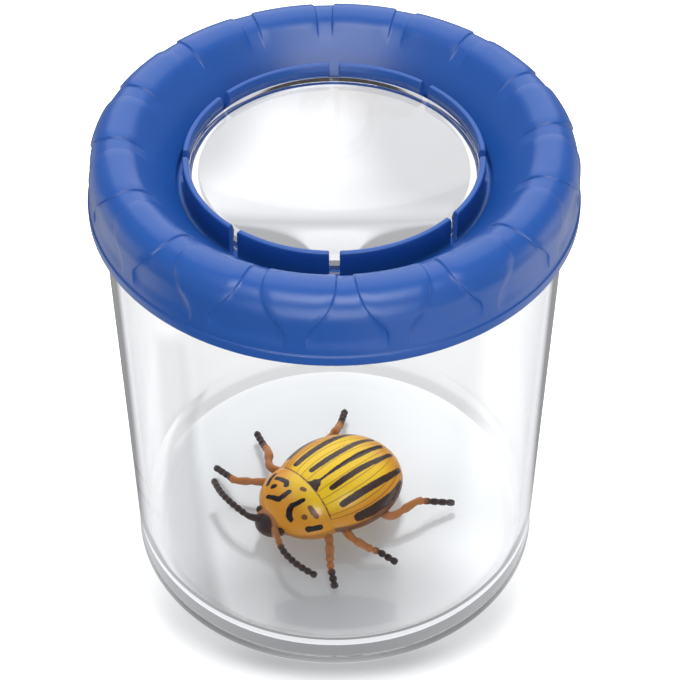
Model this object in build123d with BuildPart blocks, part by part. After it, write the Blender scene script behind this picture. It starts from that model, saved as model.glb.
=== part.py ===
from build123d import *
from math import asin, cos, degrees, radians, sin, sqrt, tan
import os

# Bug catcher jar: a clear tumbler, a push-on blue lid with a magnifying lens, and a toy beetle inside.
# Millimetres. The jar stands on the XY plane, +Z is up, and -Y is the side that faces the viewer.

# Jar, a clear moulded tumbler that widens a little towards its mouth
jar_height = 102.3
jar_base_radius = 45.3
jar_rim_radius = 47.0
jar_wall = 2.2
jar_floor = 1.6
jar_foot_round = 0.5
jar_floor_round = 6.6
jar_rim_round = 0.7

# Lid, a moulded ring with a domed shoulder, a fluted grip and a sunk well for the lens
lid_rise = 7.7
lid_wall = 2.0
shoulder_radius = 5.8
skirt_wall = 1.55
skirt_overlap = 7.4
skirt_flare = 0.3
bead_height = 2.3
bead_proud = 0.35
bead_round = 0.3
slope_angle = 46.5
well_gap = 1.5
well_edge_round = 0.4
trench_wall = 1.8
trench_depth = 1.7
flange_thickness = 1.4
flange_edge_thickness = 0.3
rim_clearance = 0.35
seat_gap = 0.1
seat_width = 1.5

# Fingers that stand round the well and snap over the lens, a long and a short one in each quarter
finger_quarters = 4
long_finger_angle = 50.0
finger_thickness = 1.1
finger_above_rim = 2.9
finger_slot = 2.0
finger_lip = 0.4
finger_round = 0.35
lens_clearance = 0.1

# Flutes pressed into the lid's shoulder: bell shaped, narrow at the crest and wide at the skirt
flute_count = 16
flute_phase = 2.8
flute_depth = 0.35
flute_skirt_width = 15.0
flute_waist_width = 9.8
flute_waist_drop = 4.4
flute_crest_width = 3.6
flute_shoulder_drop = 8.0
flute_inner_reach = 3.0
flute_end_margin = 0.6

# Lens, a clear double convex magnifier with a straight rim
lens_radius = 29.0
lens_rim_height = 3.6
lens_rim_width = 1.4
lens_top_bulge = 2.2
lens_bottom_bulge = 2.0
lens_seat_width = 0.7

# Toy beetle, one moulding, measured from the jar's floor in its own frame: x to its head, y to its left
beetle_place = (1.25, 2.03)
beetle_heading = 216.0
wing_case_half_length = 15.7
wing_case_half_width = 14.0
wing_case_rise = 5.8
wing_case_drop = 2.6
wing_case_centre = (0.5, 0.0, 5.2)
wing_case_turn = 5.0
suture_width = 0.5
suture_depth = 0.35
pronotum_half_length = 10.3
pronotum_half_width = 11.0
pronotum_rise = 5.2
pronotum_drop = 2.2
pronotum_centre = (10.0, 0.0, 5.0)
head_half_length = 4.6
head_half_width = 4.6
head_rise = 2.9
head_drop = 2.2
head_centre = (18.6, 0.0, 4.3)
eye_radius = 0.95
eye_place = (19.8, 4.1, 5.3)

# Limbs are faceted tubes: pairs of place along the limb and half thickness, and then a row of beads
limb_sides = 6
leg_girths = ((0.0, 1.1), (0.25, 1.15), (0.42, 0.95), (0.5, 1.05), (0.6, 0.75))
leg_bead_start = 0.66
leg_beads = 4
leg_bead_radius = 0.82
leg_neck_radius = 0.5
leg_bend = 1.0
bead_swell_start = 0.35
bead_swell_end = 0.75
antenna_girths = ((0.0, 0.75), (0.15, 0.85))
antenna_bead_start = 0.26
antenna_beads = 8
antenna_bead_radius = 0.76
antenna_neck_radius = 0.48

# Where each limb bends, from its root inside the body to its tip
leg_routes = (
    ((11.0, -6.0, 4.5), (14.0, -11.0, 4.7), (19.2, -15.7, 4.3), (18.8, -18.8, 2.7), (19.2, -24.5, 1.05)),
    ((7.0, -8.0, 4.3), (10.4, -14.4, 4.4), (7.8, -18.2, 4.7), (6.6, -22.3, 2.7), (4.9, -28.0, 1.05)),
    ((-3.0, -8.0, 4.3), (-5.0, -13.0, 4.2), (-9.5, -14.5, 4.7), (-12.0, -16.5, 3.1), (-16.9, -21.1, 1.05)),
    ((11.0, 6.0, 4.5), (11.6, 11.6, 4.7), (15.2, 16.8, 3.2), (16.2, 19.0, 2.1), (17.5, 21.9, 1.05)),
    ((6.5, 8.0, 4.3), (7.5, 14.2, 4.3), (5.6, 18.7, 3.4), (4.1, 19.9, 2.6), (1.9, 24.2, 1.05)),
    ((-1.0, 8.0, 4.3), (-3.8, 14.6, 3.9), (-11.1, 15.0, 5.1), (-13.0, 15.3, 4.0), (-19.9, 17.9, 1.05)),
)
antenna_routes = (
    ((21.0, -1.2, 5.5), (23.6, -3.0, 6.3), (24.8, -9.4, 6.6), (24.7, -13.7, 6.1), (23.7, -17.9, 5.5)),
    ((20.4, 2.2, 5.5), (21.7, 5.7, 6.1), (23.0, 9.4, 6.0), (22.6, 14.4, 5.6), (20.6, 19.2, 5.0)),
)

# Heights and radii that follow from the sizes above
overall_height = jar_height + lid_rise
shoulder_z = overall_height - shoulder_radius
skirt_inner_radius = jar_rim_radius + rim_clearance
skirt_radius = skirt_inner_radius + skirt_wall
skirt_bottom_z = jar_height - skirt_overlap
lid_crest_radius = skirt_radius - shoulder_radius
bead_radius = skirt_radius + skirt_flare + bead_proud
bead_top_z = skirt_bottom_z + bead_height
seat_z = jar_height + seat_gap
seat_radius = jar_rim_radius - seat_width
finger_inner_radius = lens_radius + lens_clearance
finger_outer_radius = finger_inner_radius + finger_thickness
well_radius = finger_outer_radius + well_gap
slope_tan = tan(radians(slope_angle))


def on_shoulder(arc_radius, turn):
    """A point on a circle about the shoulder's centre, turned in degrees from the top towards the rim."""
    angle = radians(turn)
    return (lid_crest_radius + arc_radius * sin(angle), shoulder_z + arc_radius * cos(angle))


def down_the_slope(point, reach):
    """A point moved down the lid's inner slope, towards the well."""
    return (point[0] - reach * cos(radians(slope_angle)), point[1] - reach * sin(radians(slope_angle)))


slope_top = on_shoulder(shoulder_radius, -slope_angle)
well_edge_z = slope_top[1] - (slope_top[0] - well_radius) * slope_tan
trench_z = well_edge_z - trench_depth
flange_z = trench_z - flange_thickness
trench_outer_radius = well_radius + trench_wall
lens_seat_radius = lens_radius - lens_seat_width
flange_foot_radius = lens_seat_radius + flange_thickness - flange_edge_thickness
lens_face_radius = lens_radius - lens_rim_width
lens_bottom_z = trench_z + lens_clearance
lens_rim_top_z = lens_bottom_z + lens_rim_height
lip_z = lens_rim_top_z + lens_clearance
finger_top_z = lens_rim_top_z + finger_above_rim
under_shoulder_radius = shoulder_radius - lid_wall
under_slope_top = on_shoulder(under_shoulder_radius, -slope_angle)
under_slope_end_z = under_slope_top[1] - (under_slope_top[0] - trench_outer_radius) * slope_tan
seat_turn = degrees(asin((seat_radius - lid_crest_radius) / under_shoulder_radius))

os.makedirs("parts", exist_ok=True)


def corner_at(section, radius, height):
    """The corner of a half section that lies nearest to a radius and a height."""
    return section.vertices().sort_by_distance((radius, height, 0))[0]


# Clear jar
with BuildPart() as jar:
    with BuildSketch(Plane.XZ) as jar_section:
        with BuildLine():
            Polyline(
                (0, 0),
                (jar_base_radius, 0),
                (jar_rim_radius, jar_height),
                (jar_rim_radius - jar_wall, jar_height),
                (jar_base_radius - jar_wall, jar_floor),
                (0, jar_floor),
                close=True,
            )
        make_face()
        fillet(corner_at(jar_section, jar_base_radius, 0), radius=jar_foot_round)
        fillet(corner_at(jar_section, jar_base_radius - jar_wall, jar_floor), radius=jar_floor_round)
        fillet(corner_at(jar_section, jar_rim_radius, jar_height), radius=jar_rim_round)
        fillet(corner_at(jar_section, jar_rim_radius - jar_wall, jar_height), radius=jar_rim_round)
    revolve(axis=Axis.Z)
jar.part.label = "jar"
export_step(jar.part, "parts/jar.step")

# The outline of one flute: a bell on the outside of the shoulder and a straight slot inside the crest
with BuildPart() as flute_outline:
    with BuildSketch(Plane.XZ.offset(lid_crest_radius)):
        with BuildLine():
            crest_corner = (flute_crest_width / 2, overall_height + flute_depth)
            waist_corner = (flute_waist_width / 2, overall_height - flute_waist_drop)
            skirt_corner = (flute_skirt_width / 2, overall_height - flute_shoulder_drop)
            foot_corner = (flute_skirt_width / 2, skirt_bottom_z)
            Line((0, crest_corner[1]), crest_corner)
            Spline(crest_corner, waist_corner, skirt_corner)
            Polyline(skirt_corner, foot_corner, (0, skirt_bottom_z), (0, crest_corner[1]))
        make_face()
        mirror(about=Plane.YZ)
    extrude(amount=2 * shoulder_radius)
    with BuildSketch(Plane.XY.offset(shoulder_z)):
        with Locations((0, -lid_crest_radius)):
            Rectangle(flute_crest_width, lid_crest_radius, align=(Align.CENTER, Align.MIN))
    extrude(amount=2 * shoulder_radius)

# One flute: a thin skin that follows the outside of the lid, kept inside that outline
with BuildPart() as flute:
    with BuildSketch(Plane.XZ):
        with BuildLine():
            skin_in = shoulder_radius - flute_depth
            skin_out = shoulder_radius + flute_depth
            inner_end = down_the_slope(on_shoulder(skin_in, -slope_angle), flute_inner_reach)
            outer_end = down_the_slope(on_shoulder(skin_out, -slope_angle), flute_inner_reach)
            foot_z = bead_top_z + flute_end_margin
            foot_lean = skirt_flare * (shoulder_z - foot_z) / (shoulder_z - bead_top_z)
            inner_foot = (lid_crest_radius + skin_in + foot_lean, foot_z)
            outer_foot = (lid_crest_radius + skin_out + foot_lean, foot_z)
            Line(inner_end, on_shoulder(skin_in, -slope_angle))
            ThreePointArc(*(on_shoulder(skin_in, turn) for turn in (-slope_angle, 0, 90)))
            Polyline(on_shoulder(skin_in, 90), inner_foot, outer_foot, on_shoulder(skin_out, 90))
            ThreePointArc(*(on_shoulder(skin_out, turn) for turn in (90, 0, -slope_angle)))
            Polyline(on_shoulder(skin_out, -slope_angle), outer_end, inner_end)
        make_face()
    revolve(axis=Axis.Z)
    add(flute_outline.part, mode=Mode.INTERSECT)

# Blue lid
with BuildPart() as lid:
    with BuildSketch(Plane.XZ) as lid_section:
        with BuildLine():
            inner_wall_top = on_shoulder(under_shoulder_radius, seat_turn)
            Polyline(
                inner_wall_top,
                (seat_radius, seat_z),
                (skirt_inner_radius, seat_z),
                (skirt_inner_radius, skirt_bottom_z),
                (bead_radius, skirt_bottom_z),
                (bead_radius, bead_top_z),
                (skirt_radius + skirt_flare, bead_top_z),
                on_shoulder(shoulder_radius, 90),
            )
            ThreePointArc(on_shoulder(shoulder_radius, 90), on_shoulder(shoulder_radius, 0), slope_top)
            Polyline(
                slope_top,
                (well_radius, well_edge_z),
                (well_radius, trench_z),
                (finger_outer_radius, trench_z),
                (finger_outer_radius, finger_top_z),
                (finger_inner_radius, finger_top_z),
                (finger_inner_radius - finger_lip, (finger_top_z + lip_z) / 2),
                (finger_inner_radius, lip_z),
                (finger_inner_radius, trench_z),
                (lens_seat_radius, trench_z),
                (lens_seat_radius, trench_z - flange_edge_thickness),
                (flange_foot_radius, flange_z),
                (trench_outer_radius, flange_z),
                (trench_outer_radius, under_slope_end_z),
                under_slope_top,
            )
            ThreePointArc(under_slope_top, on_shoulder(under_shoulder_radius, 0), inner_wall_top)
        make_face()
        fillet(corner_at(lid_section, bead_radius, skirt_bottom_z), radius=bead_round)
        fillet(corner_at(lid_section, bead_radius, bead_top_z), radius=bead_round)
        fillet(corner_at(lid_section, well_radius, well_edge_z), radius=well_edge_round)
        fillet(corner_at(lid_section, finger_outer_radius, finger_top_z), radius=finger_round)
        fillet(corner_at(lid_section, finger_inner_radius, finger_top_z), radius=finger_round)
    revolve(axis=Axis.Z)
    for first_slot in (-90, -90 + long_finger_angle):
        with Locations((0, 0, trench_z)):
            with PolarLocations(finger_inner_radius, finger_quarters, start_angle=first_slot):
                Box(
                    2 * finger_thickness + well_gap,
                    finger_slot,
                    finger_top_z - trench_z,
                    align=(Align.CENTER, Align.CENTER, Align.MIN),
                    mode=Mode.SUBTRACT,
                )
    with PolarLocations(0, flute_count, start_angle=flute_phase):
        add(flute.part, mode=Mode.SUBTRACT)
lid.part.label = "lid"
export_step(lid.part, "parts/lid.step")


def half_way_bulge(bulge):
    """How far a lens face stands out half way from its centre to its edge, as part of a ball."""
    ball_radius = (lens_face_radius**2 + bulge**2) / (2 * bulge)
    return sqrt(ball_radius**2 - (lens_face_radius / 2) ** 2) - (ball_radius - bulge)


# Magnifying lens
with BuildPart() as lens:
    with BuildSketch(Plane.XZ):
        with BuildLine():
            top_centre = (0, lens_rim_top_z + lens_top_bulge)
            top_middle = (lens_face_radius / 2, lens_rim_top_z + half_way_bulge(lens_top_bulge))
            top_edge = (lens_face_radius, lens_rim_top_z)
            bottom_centre = (0, lens_bottom_z - lens_bottom_bulge)
            bottom_middle = (lens_face_radius / 2, lens_bottom_z - half_way_bulge(lens_bottom_bulge))
            bottom_edge = (lens_face_radius, lens_bottom_z)
            Line(bottom_centre, top_centre)
            ThreePointArc(top_centre, top_middle, top_edge)
            Polyline(top_edge, (lens_radius, lens_rim_top_z), (lens_radius, lens_bottom_z), bottom_edge)
            ThreePointArc(bottom_edge, bottom_middle, bottom_centre)
        make_face()
    revolve(axis=Axis.Z)
lens.part.label = "lens"
export_step(lens.part, "parts/lens.step")


def half_body(centre, half_length, half_width, height, kept, turn=0):
    """Half of an ellipsoid, above or below its widest line, turned in degrees about the vertical."""
    with BuildPart() as half:
        Sphere(1)
        scale(by=(half_length, half_width, height))
        split(bisect_by=Plane.XY, keep=kept)
    return half.part.moved(Pos(*centre) * Rot(Z=turn))


def rounded_body(centre, half_length, half_width, rise, drop, turn=0):
    """A body like a shell: half an ellipsoid above its widest line and a flatter half below it."""
    with BuildPart() as body:
        add(half_body(centre, half_length, half_width, rise, Keep.TOP, turn))
        add(half_body(centre, half_length, half_width, drop, Keep.BOTTOM, turn))
    return body.part


def limb(route, girths, bead_start, bead_count, bead_girth, neck_girth):
    """A faceted limb along a route: plain stretches first, and then a row of beads to its tip."""
    stations = list(girths)
    step = (1 - bead_start) / bead_count
    for bead in range(bead_count):
        start = bead_start + bead * step
        stations.append((start, neck_girth))
        stations.append((start + bead_swell_start * step, bead_girth))
        stations.append((start + bead_swell_end * step, bead_girth))
    stations.append((1.0, neck_girth))
    with BuildPart() as solid:
        for place, girth in stations:
            along = route.tangent_at(place)
            across = along.cross(Vector(0, 0, 1))
            with BuildSketch(Plane(origin=route.position_at(place), x_dir=across, z_dir=along)):
                RegularPolygon(radius=girth, side_count=limb_sides)
        loft(ruled=True)
    return solid.part


# The groove between the two wing cases, as deep as the gap down to a slightly smaller dome
with BuildPart() as suture:
    with Locations(Pos(*wing_case_centre) * Rot(Z=wing_case_turn)):
        Box(
            2 * wing_case_half_length,
            suture_width,
            2 * wing_case_rise,
            align=(Align.CENTER, Align.CENTER, Align.MIN),
        )
    add(
        half_body(
            wing_case_centre,
            wing_case_half_length - suture_depth,
            wing_case_half_width - suture_depth,
            wing_case_rise - suture_depth,
            Keep.TOP,
            wing_case_turn,
        ),
        mode=Mode.SUBTRACT,
    )

beetle_limbs = []
for joints in leg_routes:
    with BuildLine() as leg_line:
        FilletPolyline(*joints, radius=leg_bend)
    leg_wire = leg_line.wires()[0]
    beetle_limbs.append(
        limb(leg_wire, leg_girths, leg_bead_start, leg_beads, leg_bead_radius, leg_neck_radius)
    )
for joints in antenna_routes:
    with BuildLine() as antenna_line:
        Spline(*joints)
    antenna_wire = antenna_line.wires()[0]
    beetle_limbs.append(
        limb(
            antenna_wire,
            antenna_girths,
            antenna_bead_start,
            antenna_beads,
            antenna_bead_radius,
            antenna_neck_radius,
        )
    )

# Toy beetle
with BuildPart() as toy_beetle:
    add(
        rounded_body(
            wing_case_centre,
            wing_case_half_length,
            wing_case_half_width,
            wing_case_rise,
            wing_case_drop,
            wing_case_turn,
        )
    )
    add(suture.part, mode=Mode.SUBTRACT)
    add(
        rounded_body(
            pronotum_centre, pronotum_half_length, pronotum_half_width, pronotum_rise, pronotum_drop
        )
    )
    add(rounded_body(head_centre, head_half_length, head_half_width, head_rise, head_drop))
    add(beetle_limbs)
    with Locations(eye_place, (eye_place[0], -eye_place[1], eye_place[2])):
        Sphere(eye_radius)
stance = Pos(beetle_place[0], beetle_place[1], jar_floor) * Rot(Z=beetle_heading)
toy_beetle.part.locate(stance)
toy_beetle.part.label = "toy_beetle"
export_step(toy_beetle.part, "parts/toy_beetle.step")
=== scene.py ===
from math import asin, cos, pi, radians, sin, sqrt, tan

import bmesh
import bpy
import numpy as np
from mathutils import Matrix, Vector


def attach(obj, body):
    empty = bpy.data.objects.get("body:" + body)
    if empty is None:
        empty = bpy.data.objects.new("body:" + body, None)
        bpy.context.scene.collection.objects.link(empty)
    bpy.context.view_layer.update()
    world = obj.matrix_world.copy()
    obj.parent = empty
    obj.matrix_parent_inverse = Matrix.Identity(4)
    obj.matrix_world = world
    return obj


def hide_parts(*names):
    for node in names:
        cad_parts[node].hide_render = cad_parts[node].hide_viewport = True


# Looks of the bug catcher jar. Sizes are in millimetres until a mesh is made, which is in metres.
MM = 0.001

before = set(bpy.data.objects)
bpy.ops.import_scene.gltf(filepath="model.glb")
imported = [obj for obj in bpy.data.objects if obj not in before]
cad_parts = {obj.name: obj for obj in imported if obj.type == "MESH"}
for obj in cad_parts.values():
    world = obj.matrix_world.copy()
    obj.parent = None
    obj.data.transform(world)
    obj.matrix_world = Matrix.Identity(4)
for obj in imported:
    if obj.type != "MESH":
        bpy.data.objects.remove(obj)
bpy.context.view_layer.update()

# Sizes of the part, as in its source
JAR_HEIGHT = 102.3
JAR_BASE_RADIUS = 45.3
JAR_RIM_RADIUS = 47.0
JAR_WALL = 2.2
JAR_FLOOR = 1.6
JAR_FOOT_ROUND = 0.5
JAR_FLOOR_ROUND = 6.6
JAR_RIM_ROUND = 0.7

LID_TOP = 110.0
LID_WALL = 2.0
SHOULDER_RADIUS = 5.8
SHOULDER_Z = LID_TOP - SHOULDER_RADIUS
SKIRT_INNER_RADIUS = 47.35
SKIRT_RADIUS = 48.9
SKIRT_BOTTOM_Z = 94.9
SKIRT_FLARE = 0.3
BEAD_RADIUS = 49.55
BEAD_TOP_Z = 97.2
CREST_RADIUS = SKIRT_RADIUS - SHOULDER_RADIUS
SLOPE_ANGLE = 46.5
SEAT_Z = 102.4
SEAT_RADIUS = 45.5
WELL_RADIUS = 31.7
TRENCH_WALL = 1.8
TRENCH_DEPTH = 1.7
FLANGE_THICKNESS = 1.4
SEAT_EDGE_THICKNESS = 0.3

FINGER_QUARTERS = 4
FINGER_SPANS = (50.0, 40.0)
FINGER_INNER_RADIUS = 29.1
FINGER_OUTER_RADIUS = 30.2
FINGER_RISE = 2.9
FINGER_SLOT = 2.0
FINGER_LIP = 0.4

FLUTE_COUNT = 16
FLUTE_PHASE = 2.8
FLUTE_DEPTH = 0.35
FLUTE_EDGE = 0.22

LENS_RADIUS = 29.0
LENS_FACE_RADIUS = 27.6
LENS_SEAT_RADIUS = 28.3
LENS_RIM_HEIGHT = 3.6
LENS_TOP_BULGE = 2.2
LENS_BOTTOM_BULGE = 2.0
LENS_CLEARANCE = 0.1

FRONT = radians(-90)

# Colours, and moulded grain: scale of the noise, depth of its bump in metres, lowest and highest roughness
BLUE = (0.010, 0.063, 0.27)
JAR_TINT = (0.985, 0.99, 0.992)
LENS_TINT = (0.99, 0.992, 0.995)
PASSING_TINT = (0.94, 0.945, 0.95)
LID_GRAIN = (5000.0, 0.000012, 0.30, 0.36)
BODY_GRAIN = (2500.0, 0.00002, 0.2, 0.3)
LIMB_GRAIN = (2500.0, 0.00003, 0.36, 0.46)
SLOW_GRAIN_SCALE, SLOW_GRAIN_RANGE = 60.0, (0.3, 0.7)

# Clear plastic. Depths are counts along a light path, and lie between two whole ones. Light passes straight
# on after its second reflection, where it leaves the far foot below FOOT_ZONE, and in the near foot below
# FOOT_EDGE. Both heights are in metres.
PLASTIC_REFRACTION = 1.49
ANY_DEPTH = 0.5
GLASS_REFLECTIONS = 1.5
GLASS_PASSES = 2.5
FOOT_ZONE = 0.0085
FOOT_EDGE = 0.0016
TURNED_COLUMNS = 288


# Mesh helpers

def add_object(name, data):
    """An object of the scene that holds some data."""
    added = bpy.data.objects.new(name, data)
    bpy.context.scene.collection.objects.link(added)
    return added


def add_piece(name, points, faces, body, material, node=None):
    """A smooth mesh piece made from points in millimetres, which rides on a body of the part."""
    mesh = bpy.data.meshes.new(name)
    mesh.from_pydata([tuple(float(x) * MM for x in p) for p in points], [], faces)
    shell = bmesh.new()
    shell.from_mesh(mesh)
    bmesh.ops.recalc_face_normals(shell, faces=shell.faces)
    shell.to_mesh(mesh)
    shell.free()
    mesh.polygons.foreach_set("use_smooth", [True] * len(mesh.polygons))
    mesh.materials.append(material)
    piece = add_object(name, mesh)
    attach(piece, body)
    if node:
        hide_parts(node)
    return piece


def add_values(piece, **named):
    """Numbers at each point of a piece, by name, for its material to read."""
    for name, values in named.items():
        attribute = piece.data.attributes.new(name, "FLOAT", "POINT")
        attribute.data.foreach_set("value", np.asarray(values, dtype=np.float32))


def grid_faces(rows, columns, close_rows=False, first=0):
    """Four sided faces of a grid whose columns close into a ring."""
    faces = []
    for row in range(rows if close_rows else rows - 1):
        here = first + row * columns
        there = first + (row + 1) % rows * columns
        for column in range(columns):
            beside = (column + 1) % columns
            faces.append((here + column, here + beside, there + beside, there + column))
    return faces


def capped_faces(rows, columns):
    """Faces of a closed shell whose points are one pole, the rows of a ring grid, and the other pole."""
    faces = grid_faces(rows, columns, first=1)
    last_row = 1 + (rows - 1) * columns
    last_pole = last_row + columns
    for column in range(columns):
        beside = (column + 1) % columns
        faces.append((0, 1 + beside, 1 + column))
        faces.append((last_pole, last_row + column, last_row + beside))
    return faces


def smooth_step(start, end, value):
    """0 before start, 1 after end, and an even curve between them. Start may be the larger one."""
    t = np.clip((value - start) / (end - start), 0, 1)
    return t * t * (3 - 2 * t)


def unit(vectors):
    """Vectors brought to a length of 1."""
    return vectors / np.linalg.norm(vectors, axis=-1, keepdims=True)


def divided(start, end, spacing):
    """Evenly spaced points from start up to, and without, end."""
    start, end = np.array(start, float), np.array(end, float)
    count = max(1, int(np.linalg.norm(end - start) / spacing))
    return [tuple(start + (end - start) * i / count) for i in range(count)]


def rounded_path(corners, spacing, arc_steps=5):
    """An open path through (radius, height, rounding) corners, with arcs at the rounded ones."""
    flat = [np.array(c[:2], float) for c in corners]
    path = []
    last = flat[0]
    for i in range(1, len(corners) - 1):
        along = unit(flat[i] - flat[i - 1])
        away = unit(flat[i + 1] - flat[i])
        turn = np.arctan2(along[0] * away[1] - along[1] * away[0], along @ away)
        rounding = corners[i][2]
        reach = rounding * tan(abs(turn) / 2)
        path += divided(last, flat[i] - along * reach, spacing)
        side = np.array((-along[1], along[0])) * (1 if turn > 0 else -1)
        centre = flat[i] - along * reach + side * rounding
        x, y = -side * rounding
        for step in range(arc_steps):
            c, s = cos(turn * step / arc_steps), sin(turn * step / arc_steps)
            path.append((centre[0] + x * c - y * s, centre[1] + x * s + y * c))
        last = flat[i] + away * reach
    path += divided(last, flat[-1], spacing)
    path.append(tuple(flat[-1]))
    return path


def turned_solid(path, columns=TURNED_COLUMNS):
    """Points and faces of a solid turned round Z from a half section with both ends on the axis."""
    points = [(0, 0, path[0][1])]
    for radius, height in path[1:-1]:
        for column in range(columns):
            angle = 2 * pi * column / columns
            points.append((radius * cos(angle), radius * sin(angle), height))
    points.append((0, 0, path[-1][1]))
    return points, capped_faces(len(path) - 2, columns)


# Material helpers

def new_material(name):
    """An empty node material, with its tree, its Principled shader and its output."""
    material = bpy.data.materials.new(name)
    material.use_nodes = True
    tree = material.node_tree
    shader = tree.nodes["Principled BSDF"]
    output = tree.nodes["Material Output"]
    return material, tree, shader, output


def new_node(tree, kind, **settings):
    """A node of a tree, with its properties set by name."""
    node = tree.nodes.new(kind)
    for name, value in settings.items():
        setattr(node, name, value)
    return node


def feed(value, socket):
    """Set a socket to a number or a colour, or link a value of the node tree to it."""
    if isinstance(value, Value):
        value.tree.links.new(value.socket, socket)
    else:
        socket.default_value = value


class Value:
    """A number or a colour in a node tree. Sums on it make nodes, and take plain numbers too."""

    def __init__(self, socket):
        self.socket = socket
        self.tree = socket.id_data

    def summed(self, operation, other=0.0):
        node = new_node(self.tree, "ShaderNodeMath", operation=operation)
        feed(self, node.inputs[0])
        feed(other, node.inputs[1])
        return Value(node.outputs[0])

    def __add__(self, other):
        return self.summed("ADD", other)

    def __sub__(self, other):
        return self.summed("SUBTRACT", other)

    def __mul__(self, other):
        return self.summed("MULTIPLY", other)

    def __gt__(self, other):
        return self.summed("GREATER_THAN", other)

    def __lt__(self, other):
        return self.summed("LESS_THAN", other)

    def __or__(self, other):
        """The larger one of two values."""
        return self.summed("MAXIMUM", other)

    def __abs__(self):
        return self.summed("ABSOLUTE")

    def between(self, start, end, low=0.0, high=1.0, curve="SMOOTHSTEP"):
        """Low before start, high after end, and a curve between them. Start may be the larger one."""
        spread = new_node(self.tree, "ShaderNodeMapRange", interpolation_type=curve)
        for socket, value in zip(spread.inputs, (self, start, end, low, high)):
            feed(value, socket)
        return Value(spread.outputs[0])

    def level(self, low, high):
        """A level that goes from low to high as this share goes from 0 to 1."""
        return self * (high - low) + low

    def chosen(self, first, second):
        """The first value where this share is 0 and the second one where it is 1."""
        mix = new_node(self.tree, "ShaderNodeMix", data_type="FLOAT")
        for socket, value in ((mix.inputs[0], self), (mix.inputs[2], first), (mix.inputs[3], second)):
            feed(value, socket)
        return Value(mix.outputs[0])

    def blended(self, first, second):
        """A colour between two, by this share."""
        mix = new_node(self.tree, "ShaderNodeMix", data_type="RGBA")
        for socket, value in ((mix.inputs[0], self), (mix.inputs[6], first), (mix.inputs[7], second)):
            feed(value, socket)
        return Value(mix.outputs[2])

    def mixed(self, first, second):
        """The output of a shader between two others, by this share."""
        mix = new_node(self.tree, "ShaderNodeMixShader")
        feed(self, mix.inputs[0])
        self.tree.links.new(first, mix.inputs[1])
        self.tree.links.new(second, mix.inputs[2])
        return mix.outputs[0]


def light_path(tree):
    """What is known of the light that meets a surface, by name."""
    return {output.name: Value(output) for output in new_node(tree, "ShaderNodeLightPath").outputs}


def place_in_object(tree):
    """Where a point of a surface lies in its object: x, y and z."""
    place = new_node(tree, "ShaderNodeTexCoord")
    apart = new_node(tree, "ShaderNodeSeparateXYZ")
    tree.links.new(place.outputs["Object"], apart.inputs[0])
    return [Value(output) for output in apart.outputs]


def noise(tree, scale):
    """Noise that keeps its place on a piece, from 0 to 1."""
    place = new_node(tree, "ShaderNodeTexCoord")
    node = new_node(tree, "ShaderNodeTexNoise")
    node.inputs["Scale"].default_value = scale
    tree.links.new(place.outputs["Object"], node.inputs["Vector"])
    return Value(node.outputs["Fac"])


def grain(tree, shader, scale, depth, low_roughness, high_roughness):
    """Fine moulded grain: a bump from noise, and roughness that varies slowly over the surface."""
    bump = new_node(tree, "ShaderNodeBump")
    bump.inputs["Strength"].default_value = 1.0
    bump.inputs["Distance"].default_value = depth
    feed(noise(tree, scale), bump.inputs["Height"])
    tree.links.new(bump.outputs["Normal"], shader.inputs["Normal"])
    slow = noise(tree, SLOW_GRAIN_SCALE)
    roughness = slow.between(*SLOW_GRAIN_RANGE, low_roughness, high_roughness, "LINEAR")
    feed(roughness, shader.inputs["Roughness"])


def blue_plastic():
    material, tree, shader, _ = new_material("blue_plastic")
    shader.inputs["Base Color"].default_value = (*BLUE, 1)
    grain(tree, shader, *LID_GRAIN)
    return material


def straight_share(tree):
    """1 where light passes straight through clear plastic, and 0 where the plastic bends and reflects it."""
    path = light_path(tree)
    height = place_in_object(tree)[2]
    leaving = Value(new_node(tree, "ShaderNodeNewGeometry").outputs["Backfacing"])
    from_lamps = path["Is Shadow Ray"] | path["Is Diffuse Ray"]
    trapped = path["Glossy Depth"] > GLASS_REFLECTIONS
    far_foot = (height < FOOT_ZONE) * (path["Transmission Depth"] > GLASS_PASSES) * leaving
    near_edge = (height < FOOT_EDGE) * (path["Transmission Depth"] < ANY_DEPTH)
    return from_lamps | trapped | far_foot | near_edge


def clear_plastic(name, colour):
    """Clear plastic that lets the lamps' light through, and passes some of the light in it straight on."""
    material, tree, shader, output = new_material(name)
    shader.inputs["Base Color"].default_value = (*colour, 1)
    shader.inputs["Roughness"].default_value = 0.0
    shader.inputs["IOR"].default_value = PLASTIC_REFRACTION
    shader.inputs["Transmission Weight"].default_value = 1.0
    clear = new_node(tree, "ShaderNodeBsdfTransparent")
    clear.inputs["Color"].default_value = (*PASSING_TINT, 1)
    surface = straight_share(tree).mixed(shader.outputs[0], clear.outputs[0])
    tree.links.new(surface, output.inputs["Surface"])
    return material


# Lid

def on_shoulder(arc_radius, turn):
    """A point on a circle about the shoulder's centre, turned in degrees from straight up to the rim."""
    angle = radians(turn)
    return (CREST_RADIUS + arc_radius * sin(angle), SHOULDER_Z + arc_radius * cos(angle))


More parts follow.
